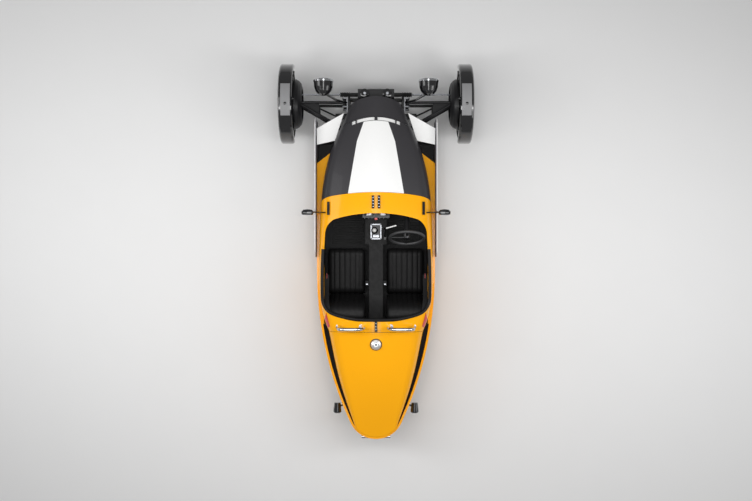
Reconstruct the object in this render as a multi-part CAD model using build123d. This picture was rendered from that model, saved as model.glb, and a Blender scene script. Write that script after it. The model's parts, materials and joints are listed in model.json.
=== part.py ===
"""Open three wheeled car: two steered front wheels, one driven rear wheel, boat tail body.
Axes: +X right, +Y forward, +Z up, millimetres, origin on the ground under the middle of the box."""
import os
from math import acos, atan2, cos, hypot, radians, sin, sqrt

from build123d import *

# Driving dimensions
overall_length = 3580
front_axle_y = 1407
wheelbase = 2600
front_wheel_x = 845
front_tyre_radius = 358
front_tyre_width = 108
front_rim_radius = 254
rear_tyre_radius = 317
rear_tyre_width = 195
rear_rim_radius = 190
belt_z = 560
floor_z = 150
guard_gap = 25

rear_axle_y = front_axle_y - wheelbase
guard_radius = front_tyre_radius + guard_gap
tail_end_y = front_axle_y + guard_radius - overall_length

# Clearances
fit_gap = 0.3
running_gap = 0.1
side_gap = 1.0
panel_gap = 3

# Tub: plan outline and walls
tub_half_width = 555
tub_front_y = 913
tub_front_half = 436
tub_corner_y = 821
tub_straight_end_y = -200
tail_reach = 15
tub_stern_y = tail_end_y + tail_reach
tub_stern_radius = 265
tub_tuck = 40
tub_wall = 20
floor_thickness = 18
flange_depth = 15
tail_lift_y = -640
tail_lift = 190
bulkhead_wall = 15
rear_bulkhead_y = -690

# Panels above the belt line
panel_wall = 12
nose_edge_y = 1427
nose_edge_radius = 487
vent_y = 1190
scuttle_seam_y = 432
scuttle_rake = 18
coaming_y = 30
deck_seam_y = -752

# Front suspension and steering
kingpin_x = 745
upper_arm_z = 470
lower_arm_z = 245
kingpin_radius = 9
arm_tube_radius = 14
steering_arm = 93
tie_rod_z = 340
tie_rod_radius = 8
frame_half_width = 265
frame_wall = 20
pivot_x = 300

# Cockpit
steering_wheel_at = (286, 117, 735)
steering_wheel_radius = 172
column_tilt = 20
tunnel_half = 66

# Body sections: y, half_width, side_top, top, corner
BODY_SECTIONS = [
    (1430, 212, 600, 742, 110),
    (1159, 330, 605, 795, 140),
    (863, 443, 610, 842, 170),
    (438, 513, 615, 880, 190),
    (40, 528, 640, 880, 165),
    (-430, 520, 640, 852, 150),
    (-750, 440, 625, 826, 150),
]
TAIL_STATIONS = [  # share of the deck's run, half width, side top, top, corner radius
    (0, 440, 625, 826, 150),
    (0.2424, 390, 615, 785, 130),
    (0.4868, 330, 600, 725, 100),
    (0.7605, 240, 580, 640, 48),
    (1, 160, 558, 568, 8),
]
TAIL_SECTIONS = [(deck_seam_y + share * (tub_stern_y - deck_seam_y), *rest) for share, *rest in TAIL_STATIONS]
deck_base_z = 545


def block(x0, x1, y0, y1, z0, z1):
    return Pos((x0 + x1) / 2, (y0 + y1) / 2, (z0 + z1) / 2) * Box(x1 - x0, y1 - y0, z1 - z0)


def rod(start, end, radius):
    start, end = Vector(*start), Vector(*end)
    plane = Plane(origin=start, z_dir=end - start)
    return plane * Cylinder(radius, (end - start).length, align=(Align.CENTER, Align.CENTER, Align.MIN))


def both_sides(solid):
    return Compound([solid, mirror(solid, about=Plane.YZ)])


def prism(points, axis, low, high):
    """Solid of a polygon drawn across an axis: (y, z) for X, (x, z) for Y, (x, y) for Z."""
    place = {
        "X": lambda a, b: (low, a, b),
        "Y": lambda a, b: (a, low, b),
        "Z": lambda a, b: (a, b, low),
    }[axis]
    corners = [place(a, b) for a, b in points]
    face = make_face(Polyline(*corners, close=True))
    way = {"X": (1, 0, 0), "Y": (0, 1, 0), "Z": (0, 0, 1)}[axis]
    return extrude(face, amount=high - low, dir=way)


def spun(points, axle_y, axle_z, arc=360, start=0):
    """Ring about an axle along X from (x, radius) points; start is the angle from straight up."""
    face = make_face(Polyline(*[(x, axle_y, axle_z + r) for x, r in points], close=True))
    axle = Axis((0, axle_y, axle_z), (1, 0, 0))
    return revolve(face.rotate(axle, start), axle, arc)


def spun_along(points, axis):
    """Ring about any axis from (distance along, radius) points."""
    plane = Plane(origin=axis.position, z_dir=axis.direction)
    face = make_face(Polyline(*[plane.from_local_coords(Vector(r, 0, d)) for d, r in points], close=True))
    return revolve(face, axis)


def arch(y, half_width, side_top, top, corner, base):
    """Body section: upright sides, two corner arcs and a crown arc, all tangent."""
    rise = top - side_top
    reach = half_width - corner
    crown = (reach**2 + rise**2 - corner**2) / (2 * (rise - corner))
    lift = crown - rise
    span = hypot(reach, lift)
    join_x = reach + corner * reach / span
    join_z = side_top + corner * lift / span
    turn = atan2(lift, reach) / 2
    mid_x = reach + corner * cos(turn)
    mid_z = side_top + corner * sin(turn)
    edges = [
        Line((half_width, y, base), (half_width, y, side_top)),
        ThreePointArc((half_width, y, side_top), (mid_x, y, mid_z), (join_x, y, join_z)),
        ThreePointArc((join_x, y, join_z), (0, y, top), (-join_x, y, join_z)),
        ThreePointArc((-join_x, y, join_z), (-mid_x, y, mid_z), (-half_width, y, side_top)),
        Line((-half_width, y, side_top), (-half_width, y, base)),
        Line((-half_width, y, base), (half_width, y, base)),
    ]
    return make_face(edges)


def body_loft(sections, inset, base):
    return loft([arch(y, w - inset, s, t - inset, c - inset * 0.5, base) for y, w, s, t, c in sections])


def tub_edges(inset, z):
    """Closed plan outline of the tub, moved inward by inset."""
    half = tub_half_width - inset
    front = tub_front_y - inset
    front_half = tub_front_half - inset * 0.4
    corner = tub_corner_y - inset * 0.4
    stern = tub_stern_radius - inset
    stern_y = tub_stern_y + tub_stern_radius
    run = tub_straight_end_y - stern_y
    sweep_radius = (half**2 + run**2 - stern**2) / (2 * (half - stern))
    centre_x = half - sweep_radius
    away = hypot(centre_x, run)
    join_x = stern * -centre_x / away
    join_y = stern_y - stern * run / away
    angle = atan2(run, -centre_x) / 2
    mid_x = centre_x + sweep_radius * cos(angle)
    mid_y = tub_straight_end_y - sweep_radius * sin(angle)
    return [
        Line((-front_half, front, z), (front_half, front, z)),
        Line((front_half, front, z), (half, corner, z)),
        Line((half, corner, z), (half, tub_straight_end_y, z)),
        ThreePointArc((half, tub_straight_end_y, z), (mid_x, mid_y, z), (join_x, join_y, z)),
        ThreePointArc((join_x, join_y, z), (0, stern_y - stern, z), (-join_x, join_y, z)),
        ThreePointArc((-join_x, join_y, z), (-mid_x, mid_y, z), (-half, tub_straight_end_y, z)),
        Line((-half, tub_straight_end_y, z), (-half, corner, z)),
        Line((-half, corner, z), (-front_half, front, z)),
    ]


def tub_half(y):
    """Half width of the tub's plan at a place along its swept side."""
    stern_y = tub_stern_y + tub_stern_radius
    run = tub_straight_end_y - stern_y
    narrowing = tub_half_width - tub_stern_radius
    sweep_radius = (tub_half_width**2 + run**2 - tub_stern_radius**2) / (2 * narrowing)
    return tub_half_width - sweep_radius + sqrt(sweep_radius**2 - (tub_straight_end_y - y)**2)


def tub_face(inset, z):
    return make_face(tub_edges(inset, z))


def tub_hull(inset, low, high):
    """Tub between two heights; its sides tuck under toward the floor."""
    def tuck(z):
        return inset + tub_tuck * (belt_z - z) / (belt_z - floor_z)
    return loft([tub_face(tuck(low), low), tub_face(tuck(high), high)], ruled=True)


parts = {}

# Tub walls, one skin each side, with the flange that the upper panels sit on
hull = tub_hull(0, floor_z, belt_z)
hollow = tub_hull(tub_wall, floor_z - 1, belt_z + 1)
walls = hull - hollow
walls -= block(-700, 700, tub_front_y - tub_wall * 2, tub_front_y + 10, floor_z - 10, belt_z - flange_depth)
flange = tub_hull(0, belt_z - flange_depth, belt_z) & block(-700, 700, rear_bulkhead_y, 1000, 0, 1000)
flange -= block(-488, 488, rear_bulkhead_y - 5, 400, 0, 1000)
flange -= block(-400, 400, 390, tub_front_y - 35, 0, 1000)
lift_cut = prism(
    [(tail_lift_y, floor_z - 20), (tail_lift_y, floor_z), (tub_stern_y, floor_z + tail_lift),
     (tub_stern_y - 50, floor_z + tail_lift), (tub_stern_y - 50, floor_z - 20)], "X", -700, 700)
ring = (walls + flange) - lift_cut
parts["tub_side_right"] = ring & block(0, 700, -2000, 1000, 0, 1000)
parts["tub_side_left"] = ring & block(-700, 0, -2000, 1000, 0, 1000)

floor_top = floor_z + floor_thickness
floor_plate = tub_hull(tub_wall + fit_gap, floor_z, floor_top)
floor_plate &= block(-700, 700, rear_bulkhead_y - bulkhead_wall, tub_front_y - tub_wall, 0, 500)
parts["floor_pan"] = floor_plate

front_wall = tub_hull(tub_wall + fit_gap, floor_top, belt_z - flange_depth)
front_wall_y = tub_front_y - tub_wall - 40
front_wall &= block(-700, 700, front_wall_y, front_wall_y + bulkhead_wall, 0, 800)
parts["front_bulkhead"] = front_wall

rear_wall = tub_hull(tub_wall + fit_gap, floor_top, belt_z - flange_depth - fit_gap)
rear_wall += block(-380, 380, rear_bulkhead_y - bulkhead_wall, rear_bulkhead_y, 500, 745)
rear_wall &= block(-700, 700, rear_bulkhead_y - bulkhead_wall, rear_bulkhead_y, 0, 800)
parts["rear_bulkhead"] = rear_wall

# Upper body: one hollow form cut into nose cowl, bonnet, scuttle and rear cowl
outer = body_loft(BODY_SECTIONS, 0, belt_z)
inner = body_loft(BODY_SECTIONS, panel_wall, belt_z - 5)
shell = outer - inner

lean = radians(scuttle_rake)
rake = Plane(origin=(0, scuttle_seam_y, belt_z), x_dir=(1, 0, 0), z_dir=(0, cos(lean), -sin(lean)))
big = 3000
ahead_of_seam = rake * Pos(0, 0, big / 2) * Box(big, big, big)
behind_seam = rake * Pos(0, 0, -big / 2 - panel_gap) * Box(big, big, big)
nose_cut = Pos(0, nose_edge_y - nose_edge_radius, 0) * Cylinder(nose_edge_radius, 3000)
vent_radius = 640
vent_centre = vent_y + 46 - vent_radius
vent_front = Pos(0, vent_centre, 0) * Cylinder(vent_radius, 3000)
vent_back = Pos(0, vent_centre, 0) * Cylinder(vent_radius - panel_gap, 3000)
parts["nose_cowl"] = (shell & nose_cut) - vent_front - block(-900, 900, -2000, 900, 0, 2000)
bonnet = (shell & ahead_of_seam) & vent_back
slot_front, slot_back = vent_radius - 8, vent_radius - 38
slot_ring = Pos(0, vent_centre, 0) * (Cylinder(slot_front, 3000) - Cylinder(slot_back, 3000))
for x_low, x_high in ((14, 178), (190, 222)):
    for low, high in ((x_low, x_high), (-x_high, -x_low)):
        bonnet -= slot_ring & block(low, high, 900, 1500, belt_z, 1500)
parts["bonnet"] = bonnet
vent_wall = 4
vent_floor = body_loft(BODY_SECTIONS, panel_wall, belt_z)
vent_floor -= body_loft(BODY_SECTIONS, panel_wall + vent_wall, belt_z - 5)
vent_floor &= Pos(0, vent_centre, 0) * (Cylinder(slot_front, 3000) - Cylinder(slot_back - 10, 3000))
parts["bonnet_vent"] = vent_floor & block(-230, 230, 900, 1500, 600, 1500)

opening_half = [  # start, point on the way, end
    ((0, 339), (205, 326), (385, 286)),
    ((385, 286), (448, 226), (470, 140)),
    ((470, 140), (482, -140), (484, -420)),
    ((484, -420), (469, -505), (405, -570)),
    ((405, -570), (210, -617), (0, -632)),
]
opening_edges = []
for run in opening_half:
    for side in (1, -1):
        opening_edges.append(ThreePointArc(*[(side * x, y, 0) for x, y in run]))
opening_face = make_face(opening_edges)
opening = extrude(opening_face, amount=2000, dir=(0, 0, 1))
cockpit_shell = (shell & behind_seam) - opening
parts["scuttle"] = cockpit_shell & block(-900, 900, coaming_y + panel_gap, 900, 0, 2000)
parts["rear_cowl"] = cockpit_shell & block(-900, 900, deck_seam_y + panel_gap, coaming_y, 0, 2000)

tail_outer = body_loft(TAIL_SECTIONS, 0, deck_base_z)
tail_inner = body_loft(TAIL_SECTIONS[:-1], panel_wall, deck_base_z - 5)
cap_y = -863
cap_radius = 48
deck = tail_outer - tail_inner
deck &= block(-900, 900, -2000, deck_seam_y, 0, 2000)
deck &= extrude(tub_face(tub_wall + panel_gap, 0), amount=2000, dir=(0, 0, 1))
deck -= Pos(0, cap_y, 800) * Cylinder(cap_radius - 8, 400)
parts["tail_deck"] = deck

# Black tray that floors the gutters and carries the deck
ledge_depth = 14
ledge = tub_hull(tub_wall + fit_gap, deck_base_z - ledge_depth, deck_base_z)
ledge -= tub_hull(tub_wall + 120, deck_base_z - ledge_depth - 5, deck_base_z + 5)
parts["tail_ledge"] = ledge & block(-700, 700, -2000, rear_bulkhead_y - bulkhead_wall, 0, 1000)

# Padded trim along the cockpit sides and rear
pad_height = 16
pad_width = 26
padded = body_loft(BODY_SECTIONS, -pad_height, belt_z + 20) - outer
pad_ring = extrude(offset(opening_face, pad_width), amount=2000, dir=(0, 0, 1)) - opening
parts["cockpit_rim"] = (padded & pad_ring) & block(-900, 900, -640, coaming_y, 0, 2000)

# Nodes that sit on the skin
RAILS = [  # x, y_low, y_high, width
    (27, 382, 501, 22),
    (439, 328, 449, 24),
]
rail_height = 14
rails = []
raised = body_loft(BODY_SECTIONS, -rail_height, belt_z + 20) - outer
for x, y_low, y_high, width in RAILS:
    for side in (1, -1):
        strip = block(side * x - width / 2, side * x + width / 2, y_low, y_high, 0, 2000)
        rails.append(raised & strip)
rails.append(raised & block(-12, 12, deck_seam_y + 8, -649, 0, 2000))
rail_bolt_radius = 3.3
RAIL_BOLTS = [(x, y) for x in (-27, 27) for y in (400, 483)]
centre_rails = Compound([s for r in rails for s in r.solids()])
for x, y in RAIL_BOLTS:
    bolt_hole = rod((x, y, 820), (x, y, 920), rail_bolt_radius)
    centre_rails -= bolt_hole
    parts["scuttle"] -= bolt_hole
parts["accessory_rails"] = centre_rails

marker_height = 5
marker_skin = body_loft(BODY_SECTIONS, -marker_height, belt_z + 20) - outer
marker = marker_skin & prism([(462, -575), (478, -640), (446, -718), (428, -700)], "Z", belt_z + 30, 1500)
parts["side_markers"] = both_sides(max(marker.solids(), key=lambda s: s.volume))

cap_profile = [(0, 0), (0, cap_radius), (26, cap_radius), (36, cap_radius - 6), (42, cap_radius - 22),
               (43, 0)]
cap = spun_along(cap_profile, Axis((0, cap_y, 795), (0, 0, 1))) - tail_outer
parts["fuel_cap"] = cap + rod((0, cap_y, 770), (0, cap_y, 825), cap_radius - 8 - fit_gap)

hoop_x = 233
hoop_half = 106
hoop_y = -700
hoop_top = 1055
hoop_radius = 15
hoop_bar_z = hoop_top - hoop_radius
hoop_low, hoop_high = hoop_x - hoop_half, hoop_x + hoop_half
path = FilletPolyline((hoop_low, hoop_y, 790), (hoop_low, hoop_y - 8, hoop_bar_z),
                      (hoop_high, hoop_y - 8, hoop_bar_z), (hoop_high, hoop_y, 760), radius=55)
hoop = sweep(Plane(origin=path @ 0, z_dir=path % 0) * Circle(hoop_radius), path=path) - outer
parts["roll_hoops"] = both_sides(max(hoop.solids(), key=lambda s: s.volume))

# Tail bar, indicators and markers
bar_radius = 16
bar_y = tail_end_y + bar_radius
bar_z = 430
bar_half = 137
bar = rod((-bar_half, bar_y, bar_z), (bar_half, bar_y, bar_z), bar_radius)
for x in (-95, 95):
    bar += rod((x, bar_y, bar_z), (x, tub_stern_y + 60, bar_z), 10)
bar -= hull
parts["tail_bar"] = max(bar.solids(), key=lambda s: s.volume)

indicator_y = tub_stern_y + 290
indicator_x = tub_half(indicator_y) + 66
indicator_z = 470
indicator_axis = Axis((indicator_x, indicator_y + 40, indicator_z), (0, -1, 0))
lamp = spun_along([(0, 0), (0, 30), (70, 38), (88, 38), (97, 30), (97, 0)], indicator_axis)
lamp += rod((indicator_x, indicator_y, indicator_z), (indicator_x - 120, indicator_y + 40, indicator_z), 9)
lamp -= hull
parts["rear_indicators"] = both_sides(max(lamp.solids(), key=lambda s: s.volume))

# Side blades, duct plates and radiators
blade_gap = 5
blade_x = tub_half_width + blade_gap
blade_wall = 12
blade_profile = [(1232, 300), (1232, 640), (1190, 680), (-20, 680), (-60, 640), (-60, 270), (-20, 230),
                 (1160, 230)]
blade = prism(blade_profile, "X", blade_x, blade_x + blade_wall)
for y in (60, 700):
    blade += rod((blade_x + 4, y, 520), (tub_half_width - 20, y, 520), 12)
parts["side_blades"] = both_sides(blade - hull)

plate_z = 620
plate_wall = 6
plate_edge = blade_x - 6
plate_plan = [(plate_edge, 1142), (300, 1285), (384, 1027), (plate_edge - 2, 990)]
plate = prism(plate_plan, "Z", plate_z, plate_z + plate_wall)
plate -= outer
plate = max(plate.solids(), key=lambda s: s.volume)
parts["duct_plates"] = both_sides(plate)

duct_floor_z = 240
radiator_plan = [(blade_x, 1020), (blade_x, 1075), (frame_half_width, 1105), (frame_half_width, 1050)]
parts["radiators"] = both_sides(prism(radiator_plan, "Z", duct_floor_z, duct_floor_z + 300))
tray_low = duct_floor_z - plate_wall
tray = block(frame_half_width, blade_x, tub_corner_y - 80, 1050, tray_low, duct_floor_z) - hull
parts["duct_trays"] = both_sides(max(tray.solids(), key=lambda s: s.volume))

# Front frame: side plates from the bulkhead forward, cross members, engine
frame_profile = [(tub_front_y, 190), (1290, 190), (1410, 205), (1462, 260), (1462, 500), (1410, 540),
                 (1100, 540), (tub_front_y, 500)]
side_plate = prism(frame_profile, "X", frame_half_width - frame_wall, frame_half_width)
for y, z, r in ((1010, 340, 70), (1190, 350, 90), (1345, 355, 70)):
    side_plate -= rod((0, y, z), (400, y, z), r)
side_plate += block(frame_half_width - frame_wall, frame_half_width, 1285, 1335, 530, belt_z)
rack_y = front_axle_y + steering_arm
rack_radius = 20
shelf_z = tie_rod_z + rack_radius + 12
cross = frame_half_width - frame_wall / 2
frame = side_plate + mirror(side_plate, about=Plane.YZ)
frame += block(-cross, cross, 1440, 1462, 260, shelf_z)
frame += block(-170, 170, 1405, 1512, shelf_z - 10, shelf_z)
for x in (-150, 150):
    frame += block(x - 15, x + 15, 1455, rack_y, tie_rod_z - 25, shelf_z - 5)
frame -= rod((-400, rack_y, tie_rod_z), (400, rack_y, tie_rod_z), rack_radius)
frame += block(-cross, cross, 960, 1040, 176, 190)
frame += block(-cross, cross, 1200, 1280, 176, 190)
frame += block(-cross, cross, 1390, 1415, 205, 235)
frame += block(-cross, cross, tub_front_y, tub_front_y + 14, 200, 260)
damper_x = 105
damper_y = 1465
damper_seat = 256
stud_radius = 20
bridge_z = shelf_z + damper_seat
frame += block(-170, 170, damper_y - 31, damper_y + 43, bridge_z, bridge_z + 10)
for x in (-163, 163):
    frame += block(x - 7, x + 7, damper_y - 31, damper_y - 5, shelf_z - 5, bridge_z + 5)
for x in (-damper_x, damper_x):
    frame -= rod((x, damper_y, bridge_z - 5), (x, damper_y, bridge_z + 15), stud_radius + fit_gap)
parts["front_frame"] = frame

parts["engine_block"] = block(-180, 180, 950, 1320, 190, 690)

# Wishbones in ears of the castings, outer eyes about the kingpin axis
arm_pivots_y = (front_axle_y - 2, front_axle_y - 257)
PIVOTS = [(y, z) for z in (upper_arm_z, lower_arm_z) for y in arm_pivots_y]
bush_half = 34
bush_radius = 17
ear = 10
casting = block(frame_half_width, frame_half_width + 12, 1105.5, 1452, 210, 505)
for y, z in PIVOTS:
    for side in (-1, 1):
        near = y + side * (bush_half + fit_gap)
        far = near + side * ear
        low, high = sorted((near, far))
        casting += block(frame_half_width, pivot_x, low, high, z - 22, z + 22)
        casting += rod((pivot_x, low, z), (pivot_x, high, z), 22)
parts["suspension_castings"] = both_sides(casting)

eye_radius = 24
eye_half = 16
wishbones = []
for z in (upper_arm_z, lower_arm_z):
    eye = Pos(kingpin_x, front_axle_y, z) * Cylinder(eye_radius, 2 * eye_half)
    wishbone = eye
    for y in arm_pivots_y:
        wishbone += rod((kingpin_x, front_axle_y, z), (pivot_x, y, z), arm_tube_radius)
        wishbone += rod((pivot_x, y - bush_half, z), (pivot_x, y + bush_half, z), bush_radius)
    web = [(kingpin_x, front_axle_y), (540, front_axle_y), (540, front_axle_y - 118)]
    wishbone += prism(web, "Z", z - 4, z + 4)
    wishbone -= Pos(kingpin_x, front_axle_y, z) * Cylinder(kingpin_radius + running_gap, 200)
    wishbones += [wishbone, mirror(wishbone, about=Plane.YZ)]
parts["wishbones"] = Compound(wishbones)

link = block(545, 575, 1350, 1376, upper_arm_z - 34, upper_arm_z - 4)
link += rod((560, 1363, 446), (380, 1295, 300), 8)
link += block(frame_half_width + 12, 392, 1270, 1320, 275, 325)
parts["pull_rods"] = both_sides(link)

# Spring and damper units upright on the front shelf
spring_pitch = 30
damper_profile = [(0, 0), (0, 34), (24, 34)]
for i in range(7):
    coil = 30 + i * spring_pitch
    damper_profile += [(coil, 50), (coil + 14, 50), (coil + 19, 43)]
damper_profile += [(246, 46), (damper_seat, 46), (damper_seat, stud_radius), (280, stud_radius), (280, 0)]
damper = spun_along(damper_profile, Axis((damper_x, damper_y, shelf_z), (0, 0, 1)))
parts["front_dampers"] = both_sides(damper)

housing_half = 245
gaiter_end = 345
housing = [(-gaiter_end, tie_rod_radius + running_gap), (-gaiter_end, 16)]
for i in range(6):
    housing += [(-gaiter_end + 8 + i * 16, 26), (-gaiter_end + 16 + i * 16, 17)]
housing += [(-housing_half, rack_radius), (housing_half, rack_radius)]
for i in range(6):
    housing += [(housing_half + 4 + i * 16, 17), (housing_half + 12 + i * 16, 26)]
housing += [(gaiter_end, 16), (gaiter_end, tie_rod_radius + running_gap)]
parts["rack_housing"] = spun(housing, rack_y, tie_rod_z)

# Headlamps
lamp_at = (487, 1434, 720)
bowl = [(0, 0), (0, 22), (14, 48), (40, 72), (80, 86), (126, 90), (126, 0)]
lamp_axis = Axis(lamp_at, (0, 1, 0))
bowl = spun_along(bowl, lamp_axis)
stalk = rod((487, 1470, 660), (380, 1415, 600), 11) + rod((380, 1415, 600), (281, 1400, 500), 11)
stalk -= block(0, 400, 1300, 1500, 0, 505)
bowl += stalk
parts["headlamp_bowls"] = both_sides(bowl)
rim = spun_along([(126, 80), (126, 93), (140, 93), (148, 88), (148, 80)], lamp_axis)
parts["headlamp_rims"] = both_sides(rim)
lens_radius = 80 - fit_gap
lens_profile = [(126, 0), (126, lens_radius), (140, lens_radius), (150, 60), (156, 30), (157, 0)]
lens = spun_along(lens_profile, lamp_axis)
parts["headlamp_lenses"] = both_sides(lens)

# Mirrors
mirror_inner_x = tub_half_width + 15
mirror_axis = Axis((mirror_inner_x, 345, 850), (1, 0, 0))
head = spun_along([(0, 0), (4, 16), (18, 28), (56, 33), (94, 28), (108, 16), (112, 0)], mirror_axis)
glass_y = 345 - 18
glass = head & block(0, 900, glass_y - 4, glass_y, 0, 2000)
head &= block(0, 900, glass_y, 900, 0, 2000)
arm = rod((mirror_inner_x + 4, 350, 850), (tub_half_width - 100, 350, 735), 7) - outer
arm = max(arm.solids(), key=lambda s: s.volume)
parts["mirror_heads"] = both_sides(head + arm)
parts["mirror_glasses"] = both_sides(glass)


# Knuckles: upright between the wishbone eyes, stub axle, steering arm
hub_z = front_tyre_radius
stub_radius = 22
eye_gap = 0.5
low_z = lower_arm_z + eye_half + eye_gap
high_z = upper_arm_z - eye_half - eye_gap
knuckle = block(kingpin_x - 22, kingpin_x + 22, front_axle_y - 20, front_axle_y + 20, low_z, high_z)
for z, way in ((high_z, 1), (low_z, -1)):
    tip = z + way * (2 * eye_half + 2 * eye_gap)
    knuckle += rod((kingpin_x, front_axle_y, z - way * 5), (kingpin_x, front_axle_y, tip), kingpin_radius)
    knuckle += rod((kingpin_x, front_axle_y, tip), (kingpin_x, front_axle_y, tip + way * 12), 16)
hub_inner = front_wheel_x - 35
hub_outer = front_wheel_x + 40
knuckle += rod((kingpin_x, front_axle_y, hub_z), (hub_inner - side_gap, front_axle_y, hub_z), 34)
knuckle += rod((kingpin_x, front_axle_y, hub_z), (hub_outer + 14, front_axle_y, hub_z), stub_radius)
knuckle += rod((hub_outer + side_gap, front_axle_y, hub_z), (hub_outer + 14, front_axle_y, hub_z), 32)
rod_end_top = tie_rod_z + 15
arm_low, arm_high = rod_end_top + side_gap, rod_end_top + 18
knuckle += block(kingpin_x - 12, kingpin_x + 12, front_axle_y, rack_y, arm_low, arm_high)
knuckle += Pos(kingpin_x, rack_y, rod_end_top + 9.5) * Cylinder(18, 17)

# Brake shroud bulging inboard, carried by a bridge on the upright
shroud_profile = [(778, 237), (762, 236), (738, 222), (716, 196), (707, 165), (707, 150),
                  (711, 150), (711, 164), (719.5, 193.5), (740.5, 218.5), (763, 232), (778, 233)]
knuckle += spun(shroud_profile, front_axle_y, hub_z)
knuckle += block(711, kingpin_x - 22, front_axle_y - 158, front_axle_y + 158, hub_z + 22, hub_z + 52)

# Mudguard: flat crown, rounded shoulders, short skirts, three stays to the shroud
guard_half = 66
guard_wall = 3
guard_sweep = 88
GUARD_SKIN = [  # half width, drop from the crown
    (guard_half, 43), (guard_half, 17), (guard_half - 8, 5), (guard_half - 20, 0),
]
GUARD_LINING = [
    (guard_half - 3, 43), (guard_half - 3, 18), (guard_half - 9.7, 7.6), (guard_half - 20.6, guard_wall),
]
guard_outer = [(-x, guard_radius - d) for x, d in GUARD_SKIN]
guard_outer += [(x, guard_radius - d) for x, d in GUARD_SKIN[::-1]]
guard_inner = [(x, guard_radius - d) for x, d in GUARD_LINING]
guard_inner += [(-x, guard_radius - d) for x, d in GUARD_LINING[::-1]]
guard_profile = [(front_wheel_x + x, r) for x, r in guard_outer + guard_inner]
guard = spun(guard_profile, front_axle_y, hub_z, 2 * guard_sweep, -guard_sweep)
stay_x = front_wheel_x - guard_half - 8
for angle in (-50, 0, 50):
    across, up = -sin(radians(angle)), cos(radians(angle))

    def at(x, r):
        return (x, front_axle_y + across * r, hub_z + up * r)
    foot = guard_radius - 29
    guard += rod(at(stay_x - 7, foot), at(stay_x + 9.5, foot), 8)
    guard += rod(at(stay_x, 237 + fit_gap), at(stay_x, foot - 4), 5)

# Front wheels: barrel, dished disc with round holes, hub


def tyre_profile(half, rim, radius, bead):
    """Cross section of a tyre; bead is how far the beads sit inside the side walls."""
    side = [(half - bead, rim + fit_gap), (half - bead, rim + 15), (half - 5, rim + 20),
            (half, (rim + radius) / 2), (half - 5, radius - 23), (half - 17, radius - 8),
            (half * 0.37, radius - 1.5)]
    return side + [(0, radius)] + [(-x, r) for x, r in side[::-1]]


def barrel_profile(half, rim, bead, flange):
    """Cross section of a wheel barrel that a tyre of that bead seats in."""
    seat = half - bead + fit_gap
    edge = seat + flange
    return [(-edge, rim + 14), (-edge, rim - 16), (edge, rim - 16), (edge, rim + 14),
            (seat, rim + 14), (seat, rim), (-seat, rim), (-seat, rim + 14)]


front_bead = 10
front_tyre = tyre_profile(front_tyre_width / 2, front_rim_radius, front_tyre_radius, front_bead)
tyre = spun([(front_wheel_x + x, r) for x, r in front_tyre], front_axle_y, hub_z)
front_barrel = barrel_profile(front_tyre_width / 2, front_rim_radius, front_bead, 4.7)
disc_edge = front_rim_radius - 14
front_disc = [(8, 45), (14, 150), (26, disc_edge), (34, disc_edge), (22, 150), (16, 45)]
front_hub = [(-35, stub_radius + running_gap), (-35, 50), (40, 50), (40, stub_radius + running_gap)]
wheel = spun([(front_wheel_x + x, r) for x, r in front_barrel], front_axle_y, hub_z)
wheel += spun([(front_wheel_x + x, r) for x, r in front_disc], front_axle_y, hub_z)
wheel += spun([(front_wheel_x + x, r) for x, r in front_hub], front_axle_y, hub_z)
for i in range(12):
    y = front_axle_y + (front_rim_radius - 76) * cos(radians(30 * i))
    z = hub_z + (front_rim_radius - 76) * sin(radians(30 * i))
    wheel -= rod((front_wheel_x - 20, y, z), (front_wheel_x + 45, y, z), 24)

for name, solid in (("knuckle", knuckle), ("mudguard", guard),
                    ("front_wheel", wheel), ("front_tyre", tyre)):
    parts[f"{name}_right"] = solid
    parts[f"{name}_left"] = mirror(solid, about=Plane.YZ)

# Rack bar with a rod end under each steering arm
bar = rod((-kingpin_x, rack_y, tie_rod_z), (kingpin_x, rack_y, tie_rod_z), tie_rod_radius)
for x in (-kingpin_x, kingpin_x):
    bar += Pos(x, rack_y, tie_rod_z) * Cylinder(16, 2 * (rod_end_top - tie_rod_z))
parts["tie_rods"] = bar

# Rear wheel in a swing arm behind the cockpit bulkhead
rear_z = rear_tyre_radius
axle_radius = 12
pivot_at = (-762, 300)
arm_inner = 130
swing = rod((-175, *pivot_at), (175, *pivot_at), 25)
swing_profile = [(-748, 272), (-748, 328), (-1215, 346), (-1228, 317), (-1215, 288)]
for side in (-1, 1):
    low, high = sorted((side * arm_inner, side * (arm_inner + 30)))
    swing += prism(swing_profile, "X", low, high)
swing += rod((-172, rear_axle_y, rear_z), (172, rear_axle_y, rear_z), axle_radius)
parts["swing_arm"] = swing
for side in (-1, 1):
    low, high = sorted((side * (175 + fit_gap), side * 192))
    parts["rear_bulkhead"] += block(low, high, pivot_at[0] - 30, rear_bulkhead_y - 5, 265, 335)
rear_damper = rod((152, -1060, 300), (152, -640, 640), 26) - block(0, 300, -705, 0, 0, 900)
rear_damper -= prism([(-600, 322.5), (-600, 0), (-1300, 0), (-1300, 349.3)], "X", 100, 200)
parts["rear_dampers"] = both_sides(rear_damper)
pulley_radius = 96
front_pulley_radius = 48
belt_low, belt_high = -122, -104
front_pulley = rod((belt_low, *pivot_at), (belt_high, *pivot_at), front_pulley_radius)
front_pulley -= rod((belt_low - 5, *pivot_at), (belt_high + 5, *pivot_at), 25 + fit_gap)


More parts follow.
